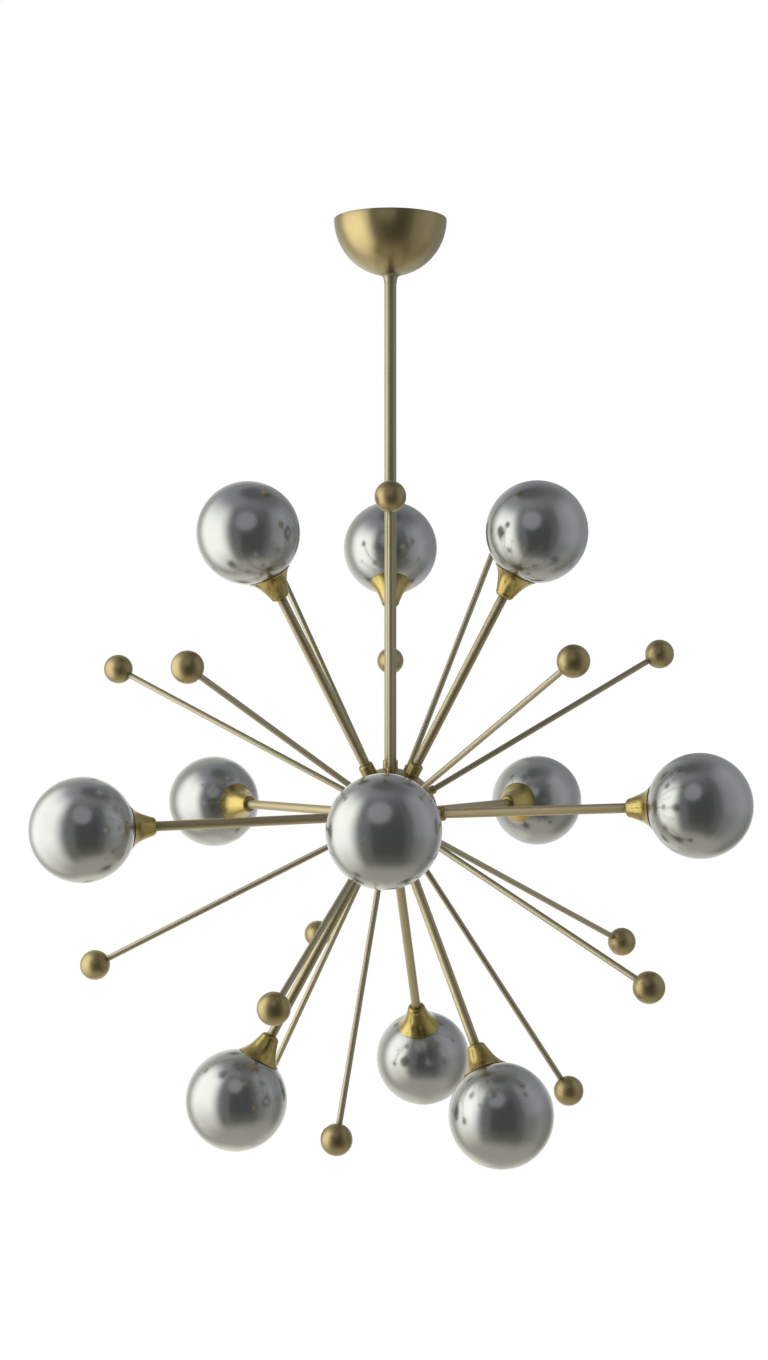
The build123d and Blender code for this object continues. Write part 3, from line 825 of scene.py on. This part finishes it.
def seen_or_mirrored(f):
    """1 for what the eye sees, straight or by way of metal and glass, and 0 for light on the object."""
    eye = f.node("ShaderNodeLightPath", output="Is Camera Ray")
    mirror = f.node("ShaderNodeLightPath", output="Is Glossy Ray")
    glass = f.node("ShaderNodeLightPath", output="Is Transmission Ray")
    return f.node("ShaderNodeClamp", {}, {"Value": eye + mirror + glass})


def white_room():
    """World: white to the eye and in reflections, softer as light on the object."""
    world = bpy.data.worlds.new("white_room")
    bpy.context.scene.world = world
    f = Finish(world)
    strength = ROOM_LIGHT + (ROOM_SEEN - ROOM_LIGHT) * seen_or_mirrored(f)
    sky = f.node("ShaderNodeBackground", {}, {"Color": WHITE, "Strength": strength})
    f.node("ShaderNodeOutputWorld", {}, {"Surface": sky})


def stage_grid(name, points, material):
    """Adds a piece of the studio, which isn't part of the object, from a grid of points."""
    rows, columns = points.shape[:2]
    cell = (np.arange(rows - 1)[:, None] * columns + np.arange(columns - 1)).reshape(-1, 1)
    quads = cell + np.array([0, 1, columns + 1, columns])
    mesh = bpy.data.meshes.new(name)
    mesh.from_pydata(points.reshape(-1, 3).tolist(), [], quads.tolist())
    mesh.materials.append(material)
    made = bpy.data.objects.new(name, mesh)
    bpy.context.scene.collection.objects.link(made)
    return made


def pale_floor():
    """Plain level floor below the light; it shows white to the eye and in reflections and keeps a
    soft shadow. Its underside is clear, so that the light can be looked at from below."""
    f = new_finish("pale_floor")
    pale = f.mixed(f.noise(3.0), opaque((0.80, 0.80, 0.79)), opaque((0.84, 0.84, 0.83)))
    paper = f.node("ShaderNodeBsdfDiffuse", {}, {"Color": pale})
    glow = f.node("ShaderNodeEmission", {}, {"Color": WHITE, "Strength": FLOOR_SEEN})
    lit = f.node("ShaderNodeMixShader", {}, {0: FLOOR_SEEN_SHARE, 1: paper, 2: glow})
    top = f.node("ShaderNodeMixShader", {}, {0: seen_or_mirrored(f), 1: paper, 2: lit})
    clear = f.node("ShaderNodeBsdfTransparent")
    under = f.node("ShaderNodeNewGeometry", output="Backfacing")
    both = f.node("ShaderNodeMixShader", {}, {0: under, 1: top, 2: clear})
    f.node("ShaderNodeOutputMaterial", {}, {"Surface": both})
    side = np.linspace(-FLOOR_REACH, FLOOR_REACH, 7)
    x, y = np.meshgrid(side, side)
    stage_grid("floor", np.stack([x, y, np.full_like(x, FLOOR_HEIGHT)], axis=-1), f.owner)


def step(value, low, high):
    """Smooth rise from 0 at the low value to 1 at the high one: 3x^2 - 2x^3."""
    x = np.clip((value - low) / (high - low), 0, 1)
    return x * x * (3 - 2 * x)


def band(value, low, low_full, high_full, high):
    """1 between the two full values and 0 outside the other two, with smooth edges."""
    return step(value, low, low_full) * (1 - step(value, high_full, high))


def toward(glow, mask, level):
    """Brightness drawn to a level where the mask is 1: glow + mask (level - glow)."""
    return glow + mask * (level - glow)


def reflector(turn, rise):
    """1 inside a round disc, by the angle from its middle: cos of it is
    sin rise sin tilt + cos rise cos tilt cos (turn - aside)."""
    aside, tilt = radians(REFLECTOR_AIM[0]), radians(REFLECTOR_AIM[1])
    t, r = np.radians(turn), np.radians(rise)
    near = np.sin(r) * sin(tilt) + np.cos(r) * cos(tilt) * np.cos(t - aside)
    inner, outer = [cos(radians(edge)) for edge in REFLECTOR_EDGE]
    return step(near, outer, inner)


def back_glow(turn, rise):
    """Brightness behind the object: pale on the left and below, dimmer on the right and above, and
    white at the level of the hub straight behind."""
    right_below, right_above = BACK_RIGHT_GLOW
    left_below, left_above = BACK_LEFT_GLOW
    right = toward(right_above, step(-rise, -16, 20), right_below)
    left = toward(left_below, step(rise, 6, 36), left_above)
    glow = toward(right, step(turn, 0, 1), left)
    middle = step(np.abs(turn), 162, 172) * (1 - step(np.abs(rise), 14, 26))
    return toward(glow, middle, BACK_MIDDLE_GLOW)


def room_glow(turn, rise):
    """Brightness of the studio by direction from the hub, in degrees: turn is positive to the left
    of the camera. An even grey with a broad soft light on the left and a weak one on the right, a
    dark upright gap round the camera, darkest in its middle, with a pale round reflector in it, a
    dim ceiling, darkest overhead, a pale floor, and the back. The numbers are the angles at which
    each part's smooth edges start and end."""
    drop = -rise
    glow = WALL_GLOW - LOW_RIGHT_LOSS * step(-turn, 20, 60) * band(drop, 0, 16, 42, 60)
    glow = glow + RIGHT_LIGHT_GLOW * np.exp(-(((turn + 85) / 20) ** 2))
    fade = (1 - 0.75 * step(rise, 25, 62)) * (1 - 0.6 * step(drop, 6, 52))
    glow = glow + LEFT_LIGHT_GLOW * step(turn, 34, 64) * (1 - 0.9 * step(turn, 96, 126)) * fade
    glow = toward(glow, band(turn, -56, -40, 34, 48), GAP_GLOW + GAP_LEFT_GAIN * step(turn, 10, 22))
    strip = band(turn, -36, -28, 14, 24) * (1 - step(rise, 20, 45)) * (1 - step(drop, 25, 45))
    glow = toward(glow, strip, STRIP_GLOW)
    ceiling = CEILING_GLOW + CEILING_LEFT_GAIN * np.sin(np.radians(turn))
    glow = toward(glow, step(rise, 42, 66), ceiling)
    glow = toward(glow, step(rise, 67, 81), OVERHEAD_GLOW)
    glow = toward(glow, reflector(turn, rise), REFLECTOR_GLOW)
    glow = toward(glow, step(drop, 42, 66), FLOOR_GLOW)
    behind = step(np.abs(turn), 118, 150) * (1 - step(rise, 40, 60)) * (1 - step(drop, 60, 80))
    return toward(glow, behind, back_glow(turn, rise))


def room_warmth(turn, rise):
    """How warm the studio's light is by direction: towards the floor and in the left light."""
    low = 1 - step(rise, -50, 5)
    left = 0.6 * step(turn, 27, 60) * (1 - step(rise, 30, 60))
    return np.maximum(low, left)


def studio_shell():
    """Round room about the object, seen by reflections alone: the point for a turn and a rise is
    hub + radius (-sin turn cos rise, -cos turn cos rise, sin rise). It is a little cool, and warmer
    where room_warmth says."""
    f = new_finish("studio_grey")
    tint = f.mixed(f.attribute("warmth"), opaque((0.94, 0.97, 1.0)), opaque((1.0, 0.98, 0.86)))
    light = f.node("ShaderNodeVectorMath", {"operation": "SCALE"}, {0: tint, "Scale": f.attribute("glow")})
    emitted = f.node("ShaderNodeEmission", {}, {"Color": light, "Strength": 1.0})
    f.node("ShaderNodeOutputMaterial", {}, {"Surface": emitted})
    turn, rise = np.meshgrid(np.linspace(-180.0, 180.0, 361), np.linspace(-89.5, 89.5, 180))
    t, r = np.radians(turn), np.radians(rise)
    directions = np.stack([-np.sin(t) * np.cos(r), -np.cos(t) * np.cos(r), np.sin(r)], axis=-1)
    shell = stage_grid("studio_shell", directions * SHELL_RADIUS + HUB, f.owner)
    for name, values in (("glow", room_glow(turn, rise)), ("warmth", room_warmth(turn, rise))):
        layer = shell.data.attributes.new(name, "FLOAT", "POINT")
        layer.data.foreach_set("value", values.astype(np.float32).ravel())
    shell.visible_camera = shell.visible_shadow = shell.visible_diffuse = False


def key_lamp():
    """Broad soft lamp from the upper left for the matt pieces."""
    data = bpy.data.lights.new("key", "AREA")
    data.shape = "SQUARE"
    data.size = LAMP_SIDE
    data.energy = LAMP_WATTS
    lamp = bpy.data.objects.new("key", data)
    bpy.context.scene.collection.objects.link(lamp)
    lamp.location = LAMP_PLACE
    lamp.rotation_mode = "QUATERNION"
    lamp.rotation_quaternion = (LAMP_TARGET - LAMP_PLACE).to_track_quat("-Z", "Y")
    lamp.visible_glossy = False


def camera():
    """Level camera 2.2 m in front of the stem, a little above the hub. Its lens is the focal length
    in pixels as a share of the picture's height, times the height of the film."""
    data = bpy.data.cameras.new("camera")
    data.sensor_width = FILM_HEIGHT
    data.lens = FOCAL_LENGTH / PICTURE_HEIGHT * FILM_HEIGHT
    data.shift_x = SIDE_SHIFT / PICTURE_HEIGHT
    data.clip_start = 0.05
    data.clip_end = 50.0
    eye = bpy.data.objects.new("camera", data)
    bpy.context.scene.collection.objects.link(eye)
    eye.location = CAMERA_PLACE
    eye.rotation_euler = (pi / 2, 0, 0)
    bpy.context.scene.camera = eye


white_room()
pale_floor()
studio_shell()
key_lamp()
camera()
bpy.context.scene.view_settings.view_transform = "Standard"
